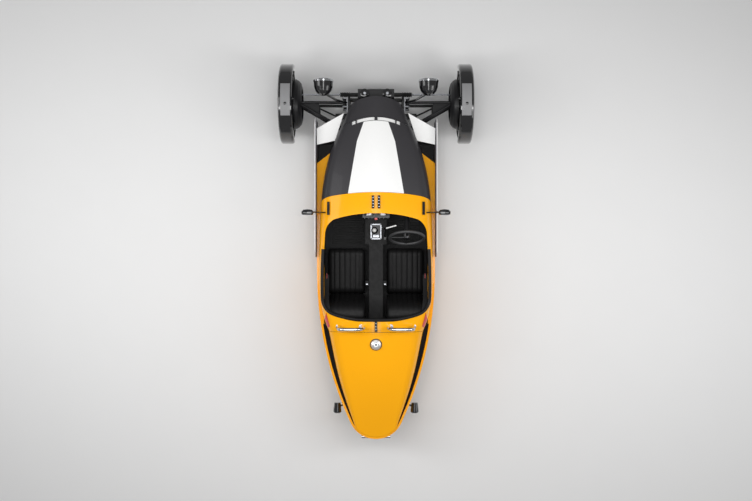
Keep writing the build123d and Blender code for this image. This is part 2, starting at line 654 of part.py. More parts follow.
def belt_loop(extra):
    """Solid inside a belt line round both pulleys."""
    run = hypot(pivot_at[0] - rear_axle_y, pivot_at[1] - rear_z)
    lean = atan2(pivot_at[1] - rear_z, pivot_at[0] - rear_axle_y)
    spread = acos((pulley_radius - front_pulley_radius) / run)
    ends = []
    for turn in (lean + spread, lean - spread):
        for y, z, r in ((rear_axle_y, rear_z, pulley_radius), (*pivot_at, front_pulley_radius)):
            r += extra
            ends.append((y + r * cos(turn), z + r * sin(turn)))
    loop = prism([ends[0], ends[1], ends[3], ends[2]], "X", belt_low, belt_high)
    loop += rod((belt_low, rear_axle_y, rear_z), (belt_high, rear_axle_y, rear_z), pulley_radius + extra)
    return loop + rod((belt_low, *pivot_at), (belt_high, *pivot_at), front_pulley_radius + extra)


parts["drive_belt"] = Compound([belt_loop(6) - belt_loop(fit_gap), front_pulley])

rear_bead = 17.5
rear_tyre = tyre_profile(rear_tyre_width / 2, rear_rim_radius, rear_tyre_radius, rear_bead)
parts["rear_tyre"] = spun(rear_tyre, rear_axle_y, rear_z)
rear_barrel = barrel_profile(rear_tyre_width / 2, rear_rim_radius, rear_bead, 5.7)
rear_hub = [(-124, axle_radius + running_gap), (-124, 36), (124, 36), (124, axle_radius + running_gap)]
rear_wheel = spun(rear_barrel, rear_axle_y, rear_z) + spun(rear_hub, rear_axle_y, rear_z)
rear_disc_edge = rear_rim_radius - 12
rear_wheel += spun([(10, 34), (10, rear_disc_edge), (24, rear_disc_edge), (24, 34)], rear_axle_y, rear_z)
for i in range(10):
    y = rear_axle_y + 120 * cos(radians(36 * i))
    z = rear_z + 120 * sin(radians(36 * i))
    rear_wheel -= rod((0, y, z), (40, y, z), 24)
rear_pulley = [(-124, 34), (-124, pulley_radius), (-102, pulley_radius), (-102, 34)]
rear_wheel += spun(rear_pulley, rear_axle_y, rear_z)
parts["rear_wheel"] = rear_wheel

# Cockpit: dashboard fitted under the scuttle, gauges, tunnel, controls, seats
dash_y = 348
fitted = body_loft(BODY_SECTIONS, panel_wall + fit_gap, belt_z - 5)
parts["dashboard"] = fitted & block(-900, 900, dash_y, dash_y + 22, 620, 900)
gauge_axis = Axis((65, dash_y, 770), (0, -1, 0))
gauge = spun_along([(0, 0), (0, 40), (24, 40), (24, 34), (18, 34), (18, 0)], gauge_axis)
switches = block(-125, 125, dash_y - 45, dash_y, 690, 706)
parts["instruments"] = Compound([switches, gauge, mirror(gauge, about=Plane.YZ)])
tunnel_top = 400
tunnel = block(-tunnel_half, tunnel_half, rear_bulkhead_y, 700, floor_top, tunnel_top)
tunnel += block(-102, 102, 60, 300, floor_top, tunnel_top)
parts["tunnel"] = tunnel
console = block(-54, 54, 104, 257, tunnel_top, tunnel_top + 14)
console += rod((-15, 192, tunnel_top), (-15, 192, 500), 7)
console += Pos(-15, 192, 512) * Sphere(20)
handbrake = block(76, 96, 104, 150, tunnel_top, tunnel_top + 20) + rod((86, 130, 412), (86, 205, 470), 9)
parts["gear_console"] = Compound([console, handbrake])
pedals = []
for x in (190, 260, 340):
    pedal = block(x - 22, x + 22, 690, 700, 240, 320) + block(x - 6, x + 6, 694, 704, floor_top, 300)
    pedals.append(pedal)
parts["pedals"] = Compound([s for p in pedals for s in p.solids()])
cushion = prism([(20, floor_top), (20, 300), (-20, 325), (-400, 290), (-440, floor_top)], "X", 106, 460)
parts["seat_cushions"] = both_sides(cushion)
back_profile = [(-446, floor_top), (-406, 290), (-480, 640), (-530, 722), (-660, 745), (-682, floor_top)]
back = prism(back_profile, "X", 106, 452)
back &= fitted + block(0, 452, -700, 0, 0, belt_z)
parts["seat_backs"] = both_sides(back)

tilt = radians(column_tilt)
toward = Vector(0, -cos(tilt), sin(tilt))
centre = Vector(*steering_wheel_at)


def down(distance):
    return tuple(centre - toward * distance)


column_pin = 9
column = rod(down(40), down(300), 22) - block(0, 600, dash_y, 900, 0, 900)
column += rod(down(45), down(-14), column_pin) + rod(down(-8), down(-14), 15)
parts["steering_column"] = column
rim_tube = 13
face_plane = Plane(origin=centre, z_dir=toward)
rim_spot = face_plane.from_local_coords(Vector(steering_wheel_radius - rim_tube, 0, 0))
helm = revolve(Plane(origin=rim_spot, z_dir=face_plane.y_dir) * Circle(rim_tube), Axis(centre, toward))
helm += rod(down(39), down(-7), 30)
spoke = steering_wheel_radius - rim_tube
for turn in (0, 180, 270):
    helm += face_plane * Rot(0, 0, turn) * Pos(spoke / 2, 0, 0) * Box(spoke, 26, 5)
helm -= rod(down(60), down(-40), column_pin + running_gap)
helm -= rod(down(-7), down(-40), 20)
parts["steering_wheel"] = helm

os.makedirs("parts", exist_ok=True)
for name, solid in parts.items():
    export_step(solid, f"parts/{name}.step")
    print(name, [round(s.volume / 1000) for s in solid.solids()], solid.is_valid)
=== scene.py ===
"""Studio scene of the open three wheeled car, seen straight from above."""
import json
import math

import bmesh
import bpy
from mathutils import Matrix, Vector


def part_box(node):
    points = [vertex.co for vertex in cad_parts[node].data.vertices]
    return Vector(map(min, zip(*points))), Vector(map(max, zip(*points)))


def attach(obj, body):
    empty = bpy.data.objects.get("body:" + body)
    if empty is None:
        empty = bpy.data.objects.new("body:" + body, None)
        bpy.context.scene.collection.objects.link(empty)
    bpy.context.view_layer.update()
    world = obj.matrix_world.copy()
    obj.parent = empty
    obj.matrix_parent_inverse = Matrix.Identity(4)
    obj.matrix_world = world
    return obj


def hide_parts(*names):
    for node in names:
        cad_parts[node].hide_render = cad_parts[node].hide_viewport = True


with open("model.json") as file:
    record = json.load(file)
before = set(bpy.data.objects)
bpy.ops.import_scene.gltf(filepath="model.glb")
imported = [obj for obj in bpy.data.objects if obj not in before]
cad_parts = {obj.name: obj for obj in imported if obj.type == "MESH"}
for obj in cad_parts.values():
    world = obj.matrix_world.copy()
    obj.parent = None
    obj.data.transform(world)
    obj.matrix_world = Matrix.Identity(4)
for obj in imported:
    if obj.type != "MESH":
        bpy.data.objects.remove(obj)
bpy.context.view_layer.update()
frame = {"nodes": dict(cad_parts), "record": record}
scene = bpy.context.scene
nodes = frame["nodes"]

# Materials: every finish has its own fine grain or wear


def shader(name):
    material = bpy.data.materials.new(name)
    material.use_nodes = True
    tree = material.node_tree
    return material, tree, tree.nodes["Principled BSDF"]


def link(tree, source, target):
    tree.links.new(source, target)


def grain(tree, scale, detail=4.0):
    place = tree.nodes.new("ShaderNodeTexCoord")
    noise = tree.nodes.new("ShaderNodeTexNoise")
    noise.inputs["Scale"].default_value = scale
    noise.inputs["Detail"].default_value = detail
    link(tree, place.outputs["Object"], noise.inputs["Vector"])
    return noise.outputs["Fac"]


def spread(tree, value, low, high):
    span = tree.nodes.new("ShaderNodeMapRange")
    span.inputs["From Min"].default_value = 0.3
    span.inputs["From Max"].default_value = 0.7
    span.inputs["To Min"].default_value = low
    span.inputs["To Max"].default_value = high
    link(tree, value, span.inputs["Value"])
    return span.outputs["Result"]


def shade(tree, value, dark, light):
    mix = tree.nodes.new("ShaderNodeMix")
    mix.data_type = "RGBA"
    mix.inputs["A"].default_value = (*dark, 1)
    mix.inputs["B"].default_value = (*light, 1)
    link(tree, value, mix.inputs["Factor"])
    return mix.outputs["Result"]


def bump(tree, bsdf, value, strength, distance):
    node = tree.nodes.new("ShaderNodeBump")
    node.inputs["Strength"].default_value = strength
    node.inputs["Distance"].default_value = distance
    link(tree, value, node.inputs["Height"])
    link(tree, node.outputs["Normal"], bsdf.inputs["Normal"])


def finish_of(name, colour, rough, metallic=0.0, coat=0.0, vary=0.12, scale=90.0, rough_vary=0.06, bumpy=0.0,
              bump_scale=400.0, gloss=0.5):
    material, tree, bsdf = shader(name)
    dark = [c * (1 - vary) for c in colour]
    light = [min(1.0, c * (1 + vary)) for c in colour]
    link(tree, shade(tree, grain(tree, scale), dark, light), bsdf.inputs["Base Color"])
    link(tree, spread(tree, grain(tree, scale * 0.4), max(0.02, rough - rough_vary), rough + rough_vary),
         bsdf.inputs["Roughness"])
    bsdf.inputs["Metallic"].default_value = metallic
    bsdf.inputs["Coat Weight"].default_value = coat
    bsdf.inputs["Coat Roughness"].default_value = 0.04
    bsdf.inputs["Specular IOR Level"].default_value = gloss
    if bumpy:
        bump(tree, bsdf, grain(tree, bump_scale, 8.0), bumpy, 0.0006)
    return material


YELLOW = (0.97, 0.42, 0.003)
GREY = (0.036, 0.0345, 0.038)
WHITE = (0.86, 0.86, 0.85)
M = {
    "yellow_paint": finish_of("yellow_paint", YELLOW, 0.16, coat=0.15, vary=0.02, rough_vary=0.02,
                              gloss=0.25),
    "grey_paint": finish_of("grey_paint", GREY, 0.36, coat=0.1, vary=0.08, rough_vary=0.04, gloss=0.3),
    "white_paint": finish_of("white_paint", WHITE, 0.38, coat=0.3, vary=0.03, rough_vary=0.05),
    "black_metal": finish_of("black_metal", (0.010, 0.010, 0.011), 0.4, coat=0.05, vary=0.3, bumpy=0.08,
                             gloss=0.25),
    "black_plastic": finish_of("black_plastic", (0.011, 0.011, 0.0115), 0.62, vary=0.2, bumpy=0.3,
                               bump_scale=900, gloss=0.25),
    "black_gloss": finish_of("black_gloss", (0.006, 0.006, 0.007), 0.12, coat=1.0, vary=0.2, rough_vary=0.03),
    "cast_alloy": finish_of("cast_alloy", (0.26, 0.265, 0.28), 0.42, metallic=0.85, vary=0.12, bumpy=0.25),
    "chrome": finish_of("chrome", (0.62, 0.63, 0.65), 0.1, metallic=1.0, vary=0.04, rough_vary=0.03),
    "satin": finish_of("satin", (0.66, 0.67, 0.68), 0.34, metallic=0.7, vary=0.05),
    "steel": finish_of("steel", (0.3, 0.31, 0.33), 0.3, metallic=1.0, vary=0.08, bumpy=0.05),
    "rubber": finish_of("rubber", (0.016, 0.016, 0.016), 0.65, vary=0.2, bumpy=0.2),
    "tyre": finish_of("tyre", (0.022, 0.022, 0.023), 0.78, vary=0.2, bumpy=0.35, bump_scale=700),
    "leather": finish_of("leather", (0.0075, 0.0073, 0.0075), 0.5, vary=0.22, bumpy=0.5, bump_scale=320,
                         gloss=0.2),
    "mirror": finish_of("mirror", (0.86, 0.87, 0.89), 0.04, metallic=1.0, vary=0.02, rough_vary=0.02),
    "red_plastic": finish_of("red_plastic", (0.55, 0.012, 0.01), 0.16, coat=0.6, vary=0.12),
    "belt_red": finish_of("belt_red", (0.2, 0.006, 0.008), 0.35, vary=0.15),
    "glass": finish_of("glass", (0.72, 0.76, 0.8), 0.08, metallic=0.2, coat=1.0, vary=0.05, rough_vary=0.02),
    # Pale grey of the mudguard plates, partly a painted reflection of the light on the mudguard crown
    "plate_grey_painted_reflection": finish_of("plate_grey_painted_reflection", (0.24, 0.24, 0.245), 0.5, vary=0.05, bumpy=0.1, gloss=0.3),
    # Near black for the tail ledge: painted shade standing for the shadow in the deep gutter
    "gutter_painted_shade": finish_of("gutter_painted_shade", (0.003, 0.003, 0.0032), 0.7, vary=0.2, gloss=0.2),
    "fabric": finish_of("fabric", (0.02, 0.02, 0.021), 0.85, vary=0.25, bumpy=0.5, bump_scale=1200),
}


STRIPE_REAR_Y, STRIPE_KNEE_Y, STRIPE_FRONT_Y = 0.529, 1.003, 1.190
STRIPE_REAR_HALF, STRIPE_KNEE_HALF, STRIPE_TAPER = 0.255, 0.175, 0.064
STRIPE_EDGE = 0.0006
VENT_CENTRE_Y, STRIPE_END_RADIUS = 0.596, 0.598


def stripe_paint():
    """Bonnet: dark grey with a white stripe that widens toward the scuttle and ends at the vent."""
    material, tree, bsdf = shader("bonnet_paint")
    place = tree.nodes.new("ShaderNodeTexCoord")
    split = tree.nodes.new("ShaderNodeSeparateXYZ")
    link(tree, place.outputs["Object"], split.inputs["Vector"])

    def maths(kind, a, b=None):
        node = tree.nodes.new("ShaderNodeMath")
        node.operation = kind
        for i, v in enumerate((a, b)):
            if v is None:
                continue
            if isinstance(v, (int, float)):
                node.inputs[i].default_value = v
            else:
                link(tree, v, node.inputs[i])
        return node.outputs[0]

    def between(value, low, high, to_low, to_high):
        node = tree.nodes.new("ShaderNodeMapRange")
        for key, v in (("From Min", low), ("From Max", high), ("To Min", to_low), ("To Max", to_high)):
            node.inputs[key].default_value = v
        link(tree, value, node.inputs["Value"])
        return node.outputs["Result"]

    x, y = maths("ABSOLUTE", split.outputs["X"]), split.outputs["Y"]
    rear = between(y, STRIPE_REAR_Y, STRIPE_KNEE_Y, STRIPE_REAR_HALF, STRIPE_KNEE_HALF)
    front = between(y, STRIPE_KNEE_Y, STRIPE_FRONT_Y, 0.0, STRIPE_TAPER)
    half = maths("SUBTRACT", rear, front)
    stripe = between(maths("SUBTRACT", x, half), -STRIPE_EDGE, STRIPE_EDGE, 1.0, 0.0)
    along = maths("SUBTRACT", y, VENT_CENTRE_Y)
    away = maths("SQRT", maths("ADD", maths("POWER", x, 2.0), maths("POWER", along, 2.0)))
    white = maths("MULTIPLY", between(away, STRIPE_END_RADIUS, STRIPE_END_RADIUS + 0.001, 1.0, 0.0), stripe)
    base = tree.nodes.new("ShaderNodeMix")
    base.data_type = "RGBA"
    link(tree, white, base.inputs["Factor"])
    dark, light = [c * 0.93 for c in GREY], [c * 1.07 for c in GREY]
    link(tree, shade(tree, grain(tree, 90), dark, light), base.inputs["A"])
    link(tree, shade(tree, grain(tree, 60), [c * 0.97 for c in WHITE], WHITE), base.inputs["B"])
    link(tree, base.outputs["Result"], bsdf.inputs["Base Color"])
    link(tree, spread(tree, grain(tree, 40), 0.36, 0.46), bsdf.inputs["Roughness"])
    bsdf.inputs["Coat Weight"].default_value = 0.1
    bsdf.inputs["Specular IOR Level"].default_value = 0.3
    return material


slot_of = {s["node"]: s["material_slot"] for s in frame["record"]["subparts"]}
for name, obj in nodes.items():
    obj.data.materials.clear()
    obj.data.materials.append(M[slot_of[name]])
    obj.data.shade_smooth()
    obj.data.set_sharp_from_angle(angle=math.radians(28))
nodes["bonnet"].data.materials[0] = stripe_paint()

# Inside faces round the cockpit are trimmed in black
TRIM_REAR_Y, TRIM_FRONT_Y, TRIM_HALF_WIDTH, TRIM_BELT_Z = -0.70, 0.90, 0.54, 0.54
for name in ("tub_side_left", "tub_side_right", "scuttle", "rear_cowl"):
    mesh = nodes[name].data
    mesh.materials.append(M["black_plastic"])
    for face in mesh.polygons:
        x, y, z = face.center
        inward = -face.normal.x * math.copysign(1.0, x)
        wall = inward > 0.5 and abs(x) < TRIM_HALF_WIDTH
        underside = face.normal.z < -0.3 and z > TRIM_BELT_Z
        if TRIM_REAR_Y < y < TRIM_FRONT_Y and (wall or underside):
            face.material_index = 1

# Meshes that the solids leave plain


def make(name, verts, faces, material, body="chassis", sharp=40):
    mesh = bpy.data.meshes.new(name)
    mesh.from_pydata([tuple(v) for v in verts], [], faces)
    mesh.validate()
    work = bmesh.new()
    work.from_mesh(mesh)
    bmesh.ops.recalc_face_normals(work, faces=work.faces)
    work.to_mesh(mesh)
    work.free()
    mesh.materials.append(material)
    mesh.shade_smooth()
    mesh.set_sharp_from_angle(angle=math.radians(sharp))
    obj = bpy.data.objects.new(name, mesh)
    scene.collection.objects.link(obj)
    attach(obj, body)
    return obj


def rings(loops, closed_ends=True, wrap=False):
    """Vertices and faces of a skin through equal loops of points."""
    count = len(loops[0])
    verts = [p for loop in loops for p in loop]
    faces = []
    last = len(loops) if wrap else len(loops) - 1
    for i in range(last):
        a, b = i * count, (i + 1) % len(loops) * count
        for j in range(count):
            k = (j + 1) % count
            faces.append((a + j, a + k, b + k, b + j))
    if closed_ends and not wrap:
        faces += [tuple(range(count)), tuple(range(len(verts) - count, len(verts)))]
    return verts, faces


def frame_at(tangent):
    across = tangent.cross(Vector((0, 0, 1)))
    if across.length < 1e-6:
        across = Vector((1, 0, 0))
    across.normalize()
    return across, across.cross(tangent).normalized()


def tube(name, path, radius, material, body="chassis", sides=12, flat=1.0, wrap=False):
    """Round or flattened tube along points; flat scales its height."""
    path = [Vector(p) for p in path]
    loops = []
    for i, p in enumerate(path):
        before = path[i - 1] if wrap or i else p
        after = path[(i + 1) % len(path)] if wrap or i + 1 < len(path) else p
        across, up = frame_at((after - before).normalized())
        turn = [2 * math.pi * j / sides for j in range(sides)]
        loops.append([p + across * radius * math.cos(t) + up * radius * flat * math.sin(t) for t in turn])
    return make(name, *rings(loops, wrap=wrap), material, body)


def lathe(name, profile, origin, axis, material, body="chassis", steps=48):
    """Solid of revolution from (distance along, radius) points."""
    origin, axis = Vector(origin), Vector(axis).normalized()
    side = axis.orthogonal().normalized()
    other = axis.cross(side)
    loops = []
    for along, radius in profile:
        radius = max(radius, 1e-5)
        loops.append([origin + axis * along + (side * math.cos(a) + other * math.sin(a)) * radius
                      for a in (2 * math.pi * i / steps for i in range(steps))])
    return make(name, *rings(loops), material, body)


def cuboid(name, low, high, material, body="chassis", edge=0.001):
    (a, b, c), (d, e, f) = low, high
    verts = [(a, b, c), (d, b, c), (d, e, c), (a, e, c), (a, b, f), (d, b, f), (d, e, f), (a, e, f)]
    faces = [(0, 3, 2, 1), (4, 5, 6, 7), (0, 1, 5, 4), (1, 2, 6, 5), (2, 3, 7, 6), (3, 0, 4, 7)]
    obj = make(name, verts, faces, material, body)
    soft = obj.modifiers.new("edge", "BEVEL")
    soft.width = edge
    soft.segments = 2
    return obj


# Tyres with ribs and cross cuts
FRONT_X, FRONT_Y, FRONT_Z = 0.845, 1.407, 0.358
REAR_Y, REAR_Z = -1.193, 0.317
# half_width, crown, bead, bead_half, tread_half, drop, grooves
FRONT_TYRE = (0.054, 0.358, 0.2545, 0.044, 0.040, 0.008, (0.011,))
REAR_TYRE = (0.0975, 0.317, 0.1905, 0.080, 0.076, 0.007, (0.016, 0.044))
BEAD_STEP, BEAD_TOP, BEAD_FLARE = 0.014, 0.019, 0.005
GROOVE_HALF, GROOVE_DEPTH, CUT_DEPTH = 0.0028, 0.006, 0.005
TREAD_STEPS, WALL_STEPS, ACROSS_STEPS = 240, 9, 28
TYRES = [  # node, body, x, y, z, section
    ("front_tyre_left", "wheel_front_left", -FRONT_X, FRONT_Y, FRONT_Z, FRONT_TYRE),
    ("front_tyre_right", "wheel_front_right", FRONT_X, FRONT_Y, FRONT_Z, FRONT_TYRE),
    ("rear_tyre", "wheel_rear", 0.0, REAR_Y, REAR_Z, REAR_TYRE),
]
for node, body, x, y, z, (half, crown, bead, bead_half, tread_half, drop, grooves) in TYRES:
    flare, foot = bead_half + BEAD_FLARE, bead + BEAD_TOP
    side = [(bead_half, bead), (bead_half, bead + BEAD_STEP), (flare, foot)]
    top = crown - drop - 0.004
    for i in range(1, WALL_STEPS + 1):
        t = i / WALL_STEPS
        bulge = math.sin(math.pi * (0.12 + 0.76 * t))
        width = flare + (half - flare) * bulge
        if t >= 0.75:
            width = max(tread_half + 0.003, width - (t - 0.75) * 0.02)
        side.append((width, foot + (top - foot) * t))
    across = [tread_half * (1 - 2 * i / ACROSS_STEPS) for i in range(ACROSS_STEPS + 1)]
    profile = side + [(dx, None) for dx in across] + [(-dx, r) for dx, r in reversed(side)]
    loops = []
    for i in range(TREAD_STEPS):
        angle = 2 * math.pi * i / TREAD_STEPS
        loop = []
        for dx, r in profile:
            if r is None:
                r = crown - drop * (dx / tread_half) ** 2
                groove = any(abs(abs(dx) - g) < GROOVE_HALF for g in grooves)
                cut = abs(dx) > grooves[-1] and (i + int(abs(dx) * 260)) % 6 == 0
                r -= GROOVE_DEPTH if groove else CUT_DEPTH if cut else 0.0
            loop.append((x + dx, y + r * math.sin(angle), z + r * math.cos(angle)))
        loops.append(loop)
    piece = make(node + "_tread", *rings(loops, wrap=True), M["tyre"], body, sharp=30)
    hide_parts(node)

# Pleated seats, one loft across the seat for each cushion and each back


def rounded(points, radius, per_corner=7):
    """Closed (y, z) polygon with rounded corners, as evenly placed points."""
    out = []
    count = len(points)
    for i in range(count):
        p, a, b = (Vector(points[(i + k) % count]) for k in (0, -1, 1))
        to_a, to_b = (a - p), (b - p)
        cut = min(radius, to_a.length * 0.45, to_b.length * 0.45)
        start, end = p + to_a.normalized() * cut, p + to_b.normalized() * cut
        for k in range(per_corner):
            t = k / (per_corner - 1)
            out.append((1 - t) ** 2 * start + 2 * t * (1 - t) * p + t * t * end)
    dense = []
    for i, p in enumerate(out):
        q = out[(i + 1) % len(out)]
        cuts = max(1, int((q - p).length / 0.018))
        dense += [p + (q - p) * (k / cuts) for k in range(cuts)]
    return dense


PLEATS, PLEAT_DEPTH, BORDER_DEPTH, BORDER_SHARE = 5, 0.009, 0.004, 0.14
SEAT_STATIONS = 64


def upholstered(name, profile, x_low, x_high, radius, faces_user, replaced):
    """Pleated pad with rounded ends; the pleats show on the side that faces the user."""
    loop = rounded(profile, radius)
    middle = sum(loop, Vector((0, 0))) / len(loop)
    normals = []
    for i in range(len(loop)):
        along = loop[(i + 1) % len(loop)] - loop[i - 1]
        normal = Vector((along.y, -along.x)).normalized()
        if normal.dot(loop[i] - middle) < 0:
            normal = -normal
        normals.append(normal)
    width = x_high - x_low
    border = width * BORDER_SHARE
    loops = []
    for s in range(SEAT_STATIONS + 1):
        x = x_low + width * s / SEAT_STATIONS
        edge = min(x - x_low, x_high - x)
        inset = 0.0 if edge >= radius else radius - math.sqrt(max(0.0, radius**2 - (radius - edge) ** 2))
        pleat = 0.0
        if edge > border:
            share = (x - x_low - border) / (width - 2 * border)
            pleat = abs(math.sin(math.pi * PLEATS * share)) ** 0.45
        ring_points = []
        for p, n in zip(loop, normals):
            user = max(0.0, n.dot(faces_user)) ** 1.5
            depth = inset * 0.7 + user * (PLEAT_DEPTH * (1 - pleat) if edge > border else BORDER_DEPTH)
            q = p - n * depth
            ring_points.append((x, q.x, q.y))
        loops.append(ring_points)
    piece = make(name, *rings(loops), M["leather"], sharp=180)
    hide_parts(replaced)


CUSHION = [(0.020, 0.170), (0.020, 0.300), (-0.020, 0.325), (-0.400, 0.290), (-0.440, 0.170)]
BACK = [(-0.446, 0.170), (-0.406, 0.290), (-0.480, 0.640), (-0.530, 0.715), (-0.640, 0.725), (-0.678, 0.170)]
SEAT_INNER_X, CUSHION_OUTER_X, BACK_OUTER_X = 0.106, 0.460, 0.450
CUSHION_RADIUS, BACK_RADIUS = 0.045, 0.05
UP, FORWARD = Vector((0, 1)), Vector((0.97, 0.24))
for side, hand in ((1, "right"), (-1, "left")):
    low, high = sorted((side * SEAT_INNER_X, side * CUSHION_OUTER_X))
    upholstered(f"cushion_{hand}", CUSHION, low, high, CUSHION_RADIUS, UP, "seat_cushions")
    low, high = sorted((side * SEAT_INNER_X, side * BACK_OUTER_X))
    upholstered(f"back_{hand}", BACK, low, high, BACK_RADIUS, FORWARD, "seat_backs")

# Two finishes on one solid, split by place


def two_finish(name, first, second, centre, radius, axes):
    """First finish nearer than the radius to the centre, measured along the given axes, second beyond it."""
    material, tree, bsdf = shader(name)
    place = tree.nodes.new("ShaderNodeTexCoord")
    shift = tree.nodes.new("ShaderNodeVectorMath")
    shift.operation = "SUBTRACT"
    shift.inputs[1].default_value = centre
    link(tree, place.outputs["Object"], shift.inputs[0])
    keep = tree.nodes.new("ShaderNodeVectorMath")
    keep.operation = "MULTIPLY"
    keep.inputs[1].default_value = axes
    link(tree, shift.outputs[0], keep.inputs[0])
    away = tree.nodes.new("ShaderNodeVectorMath")
    away.operation = "LENGTH"
    link(tree, keep.outputs[0], away.inputs[0])
    edge = tree.nodes.new("ShaderNodeMapRange")
    edge.inputs["From Min"].default_value = radius - 0.0005
    edge.inputs["From Max"].default_value = radius + 0.0005
    link(tree, away.outputs["Value"], edge.inputs["Value"])
    colour = tree.nodes.new("ShaderNodeMix")
    colour.data_type = "RGBA"
    link(tree, edge.outputs["Result"], colour.inputs["Factor"])
    link(tree, shade(tree, grain(tree, 90), [c * 0.9 for c in first[0]], first[0]), colour.inputs["A"])
    link(tree, shade(tree, grain(tree, 90), [c * 0.9 for c in second[0]], second[0]), colour.inputs["B"])
    link(tree, colour.outputs["Result"], bsdf.inputs["Base Color"])
    for key, low, high in (("Roughness", first[1], second[1]), ("Metallic", first[2], second[2])):
        span = tree.nodes.new("ShaderNodeMapRange")
        span.inputs["To Min"].default_value = low
        span.inputs["To Max"].default_value = high
        link(tree, edge.outputs["Result"], span.inputs["Value"])
        link(tree, span.outputs["Result"], bsdf.inputs[key])
    bump(tree, bsdf, grain(tree, 350, 8.0), 0.15, 0.0005)
    return material


# colour, roughness, metallic
CHROME, DARK = ((0.62, 0.63, 0.65), 0.12, 1.0), ((0.02, 0.02, 0.022), 0.35, 0.0)
HIDE = ((0.045, 0.045, 0.047), 0.4, 0.0)
PALE, SATIN = ((0.8, 0.8, 0.78), 0.3, 0.0), ((0.3, 0.3, 0.31), 0.35, 1.0)
# Darker grey for the inner faces of the side blades: painted shade on the faces the light hardly reaches
INNER_FACE_SHADE = ((0.3, 0.3, 0.32), 0.4, 0.0)
STEERING_HUB, GEAR_KNOB, DIAL_Z = (0.286, 0.117, 0.735), (-0.015, 0.192, 0.512), 0.770
ALL_AXES, X_ONLY, Z_ONLY = (1, 1, 1), (1, 0, 0), (0, 0, 1)
PAINTED_FACE = 0.005
blade_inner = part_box("side_blades")[1][0] - PAINTED_FACE
OWN_FINISH = {
    "steering_wheel": two_finish("wheel_trim", SATIN, HIDE, STEERING_HUB, 0.146, ALL_AXES),
    "instruments": two_finish("instrument_trim", SATIN, DARK, (0, 0, DIAL_Z), 0.045, Z_ONLY),
    # Side blades: white outer band, the rest darker grey as painted shade
    "side_blades": two_finish("blade_painted_shade", INNER_FACE_SHADE, PALE, (0, 0, 0), blade_inner, X_ONLY),
    "fuel_cap": M["satin"],
    # The tail ledge is painted near black as painted shade of the deep gutter
    "tail_ledge": M["gutter_painted_shade"],
    "tail_bar": two_finish("bar_trim", DARK, CHROME, (0, 0, 0), 0.088, X_ONLY),
    "gear_console": two_finish("console_trim", PALE, DARK, GEAR_KNOB, 0.0215, ALL_AXES),
}
for name, material in OWN_FINISH.items():
    nodes[name].data.materials[0] = material

# Padded roll along the cockpit edge, laid over the solid rim


def top_of(names, x, y):
    """Height of the highest of the named solids at a place."""
    heights = []
    for n in names:
        hit, where, _, _ = nodes[n].ray_cast(Vector((x, y, 3.0)), Vector((0, 0, -1)))
        if hit:
            heights.append(where.z)
    return max(heights) if heights else None


def arc_points(start, way, end, count):
    """Points on the circle through three places."""
    a, b, c = (Vector((*p, 0)) for p in (start, way, end))
    d = 2 * (a.x * (b.y - c.y) + b.x * (c.y - a.y) + c.x * (a.y - b.y))
    sq = [p.x**2 + p.y**2 for p in (a, b, c)]
    centre = Vector(((sq[0] * (b.y - c.y) + sq[1] * (c.y - a.y) + sq[2] * (a.y - b.y)) / d,
                     (sq[0] * (c.x - b.x) + sq[1] * (a.x - c.x) + sq[2] * (b.x - a.x)) / d, 0))
    turn = [math.atan2(p.y - centre.y, p.x - centre.x) for p in (a, c)]
    sweep = (turn[1] - turn[0] + math.pi) % (2 * math.pi) - math.pi
    size = (a - centre).length
    angles = [turn[0] + sweep * i / count for i in range(count + 1)]
    return [(centre.x + size * math.cos(a), centre.y + size * math.sin(a)) for a in angles]


EDGE = [  # half of the cockpit opening behind the scuttle: start, way, end, points
    ((0.476, 0.012), (0.482, -0.14), (0.484, -0.42), 24),
    ((0.484, -0.42), (0.469, -0.505), (0.405, -0.57), 12),
    ((0.405, -0.57), (0.21, -0.617), (0.0, -0.632), 20),
]
half_edge = [p for start, way, end, count in EDGE for p in arc_points(start, way, end, count)[:-1]]
half_edge.append(EDGE[-1][2])
edge_line = half_edge + [(-x, y) for x, y in reversed(half_edge[:-1])]
ROLL_RADIUS, ROLL_OFFSET, ROLL_DROP = 0.0155, 0.012, 0.012
COCKPIT_MIDDLE_Y = -0.2
roll_path = []
for i, (x, y) in enumerate(edge_line):
    before, after = edge_line[max(0, i - 1)], edge_line[min(len(edge_line) - 1, i + 1)]
    out = Vector((before[1] - after[1], after[0] - before[0])).normalized()
    px, py = x - out.x * ROLL_OFFSET, y - out.y * ROLL_OFFSET
    if math.hypot(px, py - COCKPIT_MIDDLE_Y) < math.hypot(x, y - COCKPIT_MIDDLE_Y):
        px, py = x + out.x * ROLL_OFFSET, y + out.y * ROLL_OFFSET
    height = top_of(["cockpit_rim"], px, py)
    if height:
        roll_path.append(Vector((px, py, height - ROLL_DROP)))
for _ in range(4):
    roll_path = [roll_path[0]] + [(roll_path[i - 1] + roll_path[i] * 2 + roll_path[i + 1]) / 4
                                  for i in range(1, len(roll_path) - 1)] + [roll_path[-1]]
roll = tube("cockpit_roll", roll_path, ROLL_RADIUS, M["leather"], sides=20, flat=0.95)
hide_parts("cockpit_rim")

# Fasteners on the skin
HOLE_CLEAR = 0.0075


def bolt(name, x, y, names, radius, height, material, clear=HOLE_CLEAR):
    """Round bolt head; its height is read beside the hole below it."""
    top = top_of(names, x + clear, y)
    if top is None:
        return
    profile = [(-0.004, radius), (height * 0.5, radius), (height * 0.85, radius * 0.82),
               (height, radius * 0.45), (height, 0)]
    lathe(name, profile, (x, y, top), Z_ONLY, material, steps=16)


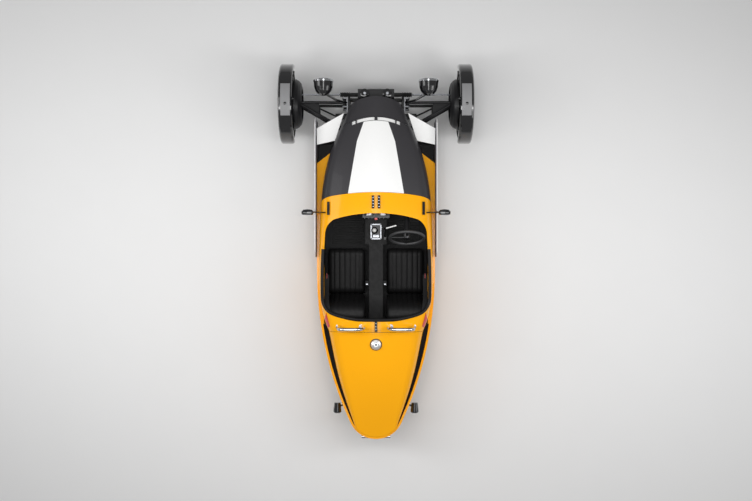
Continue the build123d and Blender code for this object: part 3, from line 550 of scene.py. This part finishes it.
BOLTS = [  # x, y, node below, radius, height, finish; each is set on both sides
    (0.027, 0.400, "accessory_rails", 0.0056, 0.005, "chrome"),
    (0.027, 0.428, "accessory_rails", 0.0056, 0.005, "chrome"),
    (0.027, 0.455, "accessory_rails", 0.0056, 0.005, "chrome"),
    (0.027, 0.483, "accessory_rails", 0.0056, 0.005, "chrome"),
    (0.439, 0.346, "accessory_rails", 0.0055, 0.003, "black_gloss"),
    (0.439, 0.431, "accessory_rails", 0.0055, 0.003, "black_gloss"),
    (0.480, 0.700, "tub_side_right", 0.006, 0.003, "steel"),
    (0.520, 0.300, "tub_side_right", 0.006, 0.003, "steel"),
    (0.530, -0.100, "tub_side_right", 0.006, 0.003, "steel"),
]
for number, (x, y, below, radius, height, finish) in enumerate(BOLTS):
    for side in (1, -1):
        node = below if side > 0 else below.replace("_right", "_left")
        bolt(f"bolt_{number}_{side}", side * x, y, [node], radius, height, M[finish])
REAR_RAIL_Y, REAR_RAIL_PITCH = -0.668, 0.028
for i in range(3):
    y = REAR_RAIL_Y - REAR_RAIL_PITCH * i
    bolt(f"rail_bolt_{i}", 0.0, y, ["accessory_rails"], 0.0055, 0.004, M["chrome"])

# Screws, seal, ring and lock of the fuel cap
CAP_Y, CAP_SCREW_CIRCLE, SEAL_RADIUS = -0.863, 0.043, 0.0515
for i in range(6):
    turn = math.radians(60 * i + 30)
    x, y = CAP_SCREW_CIRCLE * math.cos(turn), CAP_Y + CAP_SCREW_CIRCLE * math.sin(turn)
    bolt(f"cap_screw_{i}", x, y, ["fuel_cap"], 0.0035, 0.002, M["steel"], clear=0)
seal = []
for i in range(48):
    turn = 2 * math.pi * i / 48
    x, y = SEAL_RADIUS * math.cos(turn), CAP_Y + SEAL_RADIUS * math.sin(turn)
    seal.append((x, y, top_of(["tail_deck"], x, y)))
tube("cap_seal", seal, 0.0042, M["rubber"], wrap=True)
cap_top = top_of(["fuel_cap"], 0.012, CAP_Y)
ring = [(-0.003, 0.0245), (0.001, 0.0245), (0.001, 0.0205), (-0.003, 0.0205)]
lock = [(-0.002, 0.010), (0.0015, 0.010), (0.0015, 0)]
lathe("cap_ring", ring, (0, CAP_Y, cap_top), Z_ONLY, M["black_gloss"])
lathe("cap_lock", lock, (0, CAP_Y, cap_top), Z_ONLY, M["black_gloss"])

# Feet under the hoops
HOOP_Y, HOOP_LEGS_X, BESIDE_LEG = -0.700, (0.127, 0.339), 0.024
foot = [(-0.010, 0.030), (0.005, 0.030), (0.007, 0.026), (0.007, 0.0165), (-0.010, 0.0165)]
for side in (1, -1):
    for x in HOOP_LEGS_X:
        top = top_of(["rear_cowl"], side * (x + BESIDE_LEG), HOOP_Y)
        if top is not None:
            lathe(f"hoop_foot_{side}_{x}", foot, (side * x, HOOP_Y, top - 0.002), Z_ONLY, M["steel"])

# Dark domes with bright nuts over the front dampers
DAMPER_X, DAMPER_Y, DOME_RADIUS = 0.105, 1.465, 0.046
dome = [(-0.004, DOME_RADIUS), (0.006, DOME_RADIUS), (0.014, 0.038), (0.018, 0.022), (0.018, 0)]
nut = [(0, 0.016), (0.010, 0.016), (0.014, 0.012), (0.014, 0)]
for side in (1, -1):
    plate_top = top_of(["front_frame"], side * (DAMPER_X + DOME_RADIUS), DAMPER_Y)
    x, nut_base = side * DAMPER_X, plate_top + 0.017
    lathe(f"damper_dome_{side}", dome, (x, DAMPER_Y, plate_top), Z_ONLY, M["black_gloss"])
    lathe(f"damper_nut_{side}", nut, (x, DAMPER_Y, nut_base), Z_ONLY, M["steel"], steps=6)

# Pale plates laid along the crown of the mudguards, each with a dark boss; their pale grey is partly a
# painted reflection of the overhead light on the crown


def draped(name, node, x_span, y_span, rise, material, body, across=8, along=40):
    """Thin plate that follows the top of a solid."""
    (x_low, x_high), (y_low, y_high) = x_span, y_span
    columns = [x_low + (x_high - x_low) * i / across for i in range(across + 1)]
    loops = []
    for i in range(along + 1):
        y = y_low + (y_high - y_low) * i / along
        skin = [(x, y, top_of([node], x, y)) for x in columns]
        below = [(x, y, z - 0.001) for x, y, z in skin]
        above = [(x, y, z + rise) for x, y, z in reversed(skin)]
        loops.append(below + above)
    make(name, *rings(loops), material, body, sharp=30)


PLATE_INNER_X, PLATE_OUTER_X, PLATE_SPAN_Y, PLATE_RISE = 0.797, 0.886, (1.252, 1.547), 0.003
BOSS_X, BOSS_Y = 0.842, 1.360
boss = [(0, 0.013), (0.006, 0.013), (0.009, 0.009), (0.009, 0)]
for side, hand in ((1, "right"), (-1, "left")):
    guard, body = f"mudguard_{hand}", f"knuckle_{hand}"
    span = sorted((side * PLATE_INNER_X, side * PLATE_OUTER_X))
    draped(f"guard_plate_{hand}", guard, span, PLATE_SPAN_Y, PLATE_RISE, M["plate_grey_painted_reflection"], body)
    at = (side * BOSS_X, BOSS_Y, top_of([guard], side * BOSS_X, BOSS_Y))
    lathe(f"guard_boss_{hand}", boss, at, Z_ONLY, M["black_gloss"], body, steps=24)

# Road wheel nuts
NUT_CIRCLE, OUTSIDE_X = 0.062, 1.2
wheel_nut = [(-0.003, 0.0095), (0.010, 0.0095), (0.014, 0.006), (0.014, 0)]
for side, hand in ((1, "right"), (-1, "left")):
    node, body = nodes[f"front_wheel_{hand}"], f"wheel_front_{hand}"
    for i in range(5):
        turn = math.radians(72 * i + 90)
        y, z = FRONT_Y + NUT_CIRCLE * math.cos(turn), FRONT_Z + NUT_CIRCLE * math.sin(turn)
        hit, where, _, _ = node.ray_cast(Vector((side * OUTSIDE_X, y, z)), Vector((-side, 0, 0)))
        if hit:
            lathe(f"wheel_nut_{side}_{i}", wheel_nut, where, (side, 0, 0), M["chrome"], body, steps=6)

# Dials with ticks and needles
BACKWARD = (0, -1, 0)
DIAL_X, DIAL_Y, DIAL_RADIUS = 0.065, 0.3295, 0.0335
TICK_INNER, TICK_OUTER, TICK_Y = 0.028, 0.0325, DIAL_Y - 0.0012
NEEDLE_LENGTH, NEEDLE_Y = 0.025, DIAL_Y - 0.0015
face = [(0, DIAL_RADIUS), (0.0006, DIAL_RADIUS), (0.0006, 0)]


def on_dial(x, y, radius, degrees):
    turn = math.radians(degrees)
    return (x + radius * math.sin(turn), y, DIAL_Z + radius * math.cos(turn))


for side in (1, -1):
    x = side * DIAL_X
    lathe(f"dial_{side}", face, (x, DIAL_Y, DIAL_Z), BACKWARD, M["black_plastic"])
    for i in range(11):
        tick = [on_dial(x, TICK_Y, radius, -120 + 24 * i) for radius in (TICK_INNER, TICK_OUTER)]
        tube(f"tick_{side}_{i}", tick, 0.0007, M["white_paint"], sides=6)
    needle = [(x, NEEDLE_Y, DIAL_Z), on_dial(x, NEEDLE_Y, NEEDLE_LENGTH, -60 * side)]
    tube(f"needle_{side}", needle, 0.0009, M["red_plastic"], sides=6)

# Row of switches with the guarded starter in the middle, stalk and driver's panel
SWITCH_X, SWITCH_PITCH, SWITCH_Z, STARTER, GUARD_HALF = -0.105, 0.035, 0.698, 3, 0.013
switch_boss = [(0, 0.006), (0.004, 0.006), (0.004, 0)]
for i in range(7):
    x = SWITCH_X + SWITCH_PITCH * i
    if i == STARTER:
        low, high = (x - GUARD_HALF, 0.284, 0.688), (x + GUARD_HALF, 0.304, 0.712)
        cuboid("start_guard", low, high, M["red_plastic"], edge=0.003)
        continue
    lathe(f"switch_boss_{i}", switch_boss, (x, 0.303, SWITCH_Z), BACKWARD, M["black_gloss"], steps=16)
    tube(f"switch_{i}", [(x, 0.300, SWITCH_Z), (x, 0.287, 0.705)], 0.0022, M["chrome"], sides=10)
STALK_ROOT, STALK_JOIN, STALK_END = (0.270, 0.250, 0.6866), (0.188, 0.232, 0.700), (0.094, 0.206, 0.706)
tube("stalk", [STALK_ROOT, STALK_JOIN], 0.0045, M["black_plastic"])
tube("stalk_tip", [STALK_JOIN, STALK_END], 0.0062, M["white_paint"])
cuboid("switch_panel", (0.350, 0.318, 0.690), (0.436, 0.347, 0.706), M["steel"], edge=0.003)

# Bright frame and pad on the gear console, grip on the handbrake
CONSOLE_Z, BAR_HALF, BAR_HEIGHT = 0.412, 0.006, 0.006
FRAME = [(-0.046, 0.112), (0.046, 0.112), (0.046, 0.249), (-0.046, 0.249)]
for i in range(4):
    (x0, y0), (x1, y1) = FRAME[i], FRAME[(i + 1) % 4]
    low = (min(x0, x1) - BAR_HALF, min(y0, y1) - BAR_HALF, CONSOLE_Z)
    high = (max(x0, x1) + BAR_HALF, max(y0, y1) + BAR_HALF, CONSOLE_Z + BAR_HEIGHT)
    cuboid(f"console_frame_{i}", low, high, M["steel"])
cuboid("console_pad", (-0.030, 0.124, CONSOLE_Z), (0.030, 0.150, 0.420), M["steel"], edge=0.002)
gaiter = [(0, 0.034), (0.012, 0.027), (0.020, 0.029), (0.032, 0.020),
          (0.040, 0.021), (0.054, 0.009), (0.054, 0)]
lathe("gear_gaiter", gaiter, (GEAR_KNOB[0], GEAR_KNOB[1], 0.413), Z_ONLY, M["leather"], steps=32)
tube("handbrake_grip", [(0.086, 0.128, 0.4100), (0.086, 0.209, 0.4732)], 0.0105, M["chrome"], sides=16)

# Belts, buckles and ribbed mats
STRAP = [(0.440, -0.560, 0.735), (0.452, -0.515, 0.690), (0.464, -0.450, 0.560),
         (0.470, -0.380, 0.430), (0.472, -0.300, 0.345), (0.474, -0.235, 0.318)]
STRAP_HALF, TAG_X, TAG_HALF = 0.021, 0.474, 0.006
BUCKLE_INNER_X, BUCKLE_OUTER_X, BUTTON_INSET = 0.0685, 0.1035, 0.008
MAT_INNER_X, MAT_OUTER_X, MAT_REAR_Y, RIB_PITCH = 0.120, 0.420, 0.060, 0.0085
MAT_BASE_Z, MAT_LOW_Z, MAT_HIGH_Z = 0.1683, 0.1705, 0.1745
for side in (1, -1):
    tube(f"strap_{side}", [(side * x, y, z) for x, y, z in STRAP], STRAP_HALF, M["fabric"], flat=0.07)
    tag_low, tag_high = side * TAG_X - TAG_HALF, side * TAG_X + TAG_HALF
    cuboid(f"tag_{side}", (tag_low, -0.270, 0.322), (tag_high, -0.222, 0.334), M["belt_red"])
    low, high = sorted((side * BUCKLE_INNER_X, side * BUCKLE_OUTER_X))
    cuboid(f"buckle_{side}", (low, -0.338, 0.300), (high, -0.288, 0.418), M["black_plastic"], edge=0.005)
    button_low, button_high = low + BUTTON_INSET, high - BUTTON_INSET
    cuboid(f"button_{side}", (button_low, -0.328, 0.416), (button_high, -0.316, 0.421), M["steel"])
    inner, outer = side * MAT_INNER_X, side * MAT_OUTER_X
    ribs = []
    for i in range(61):
        y = MAT_REAR_Y + RIB_PITCH * i
        z = MAT_HIGH_Z if i % 2 else MAT_LOW_Z
        ribs.append([(inner, y, MAT_BASE_Z), (outer, y, MAT_BASE_Z), (outer, y, z), (inner, y, z)])
    make(f"mat_{side}", *rings(ribs), M["rubber"], sharp=20)

# Rear lamp lenses
LAMP_RADIUS, LENS_SETBACK = 0.038, 0.010
lens_profile = [(-0.002, 0.0355), (0.004, 0.034), (0.009, 0.022), (0.011, 0)]
low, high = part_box("rear_indicators")
for side in (1, -1):
    at = (side * (high[0] - LAMP_RADIUS), low[1] + LENS_SETBACK, (low[2] + high[2]) / 2)
    lathe(f"lamp_lens_{side}", lens_profile, at, BACKWARD, M["red_plastic"], steps=32)

# Floor, light and camera
ground = bpy.data.meshes.new("floor")
ground.from_pydata([(-40, -40, 0), (40, -40, 0), (40, 40, 0), (-40, 40, 0)], [], [(0, 1, 2, 3)])
floor = bpy.data.objects.new("floor", ground)
scene.collection.objects.link(floor)
ground.materials.append(finish_of("floor", (0.8, 0.8, 0.8), 0.7, vary=0.01, scale=3))

world = bpy.data.worlds.new("studio")
world.use_nodes = True
world.node_tree.nodes["Background"].inputs["Color"].default_value = (1, 1, 1, 1)
world.node_tree.nodes["Background"].inputs["Strength"].default_value = 0.27
scene.world = world


def softbox(name, at, toward, size_x, size_y, power):
    lamp = bpy.data.lights.new(name, "AREA")
    lamp.shape = "RECTANGLE"
    lamp.size, lamp.size_y, lamp.energy = size_x, size_y, power
    obj = bpy.data.objects.new(name, lamp)
    obj.location = at
    obj.rotation_euler = (Vector(toward) - Vector(at)).to_track_quat("-Z", "Y").to_euler()
    scene.collection.objects.link(obj)


softbox("overhead", (0, 0.2, 5.2), (0, 0.2, 0), 0.8, 5.0, 42)
softbox("left_strip", (-2.3, 0, 4.4), (-0.1, 0, 0.5), 0.9, 4.6, 84)
softbox("right_strip", (2.3, 0, 4.4), (0.1, 0, 0.5), 0.9, 4.6, 78)
softbox("left_fill", (-5.5, 1.0, 4.0), (0, 0, 0.4), 3.0, 3.0, 62)
softbox("right_fill", (5.5, -1.0, 4.0), (0, 0, 0.4), 3.0, 3.0, 54)

lens = bpy.data.cameras.new("camera")
lens.sensor_width = 36
lens.lens = 48.0
lens.clip_end = 100
camera = bpy.data.objects.new("camera", lens)
camera.location = (0, 0, 10)
camera.rotation_euler = (0, 0, 0)
scene.collection.objects.link(camera)
scene.camera = camera
scene.view_settings.view_transform = "Standard"
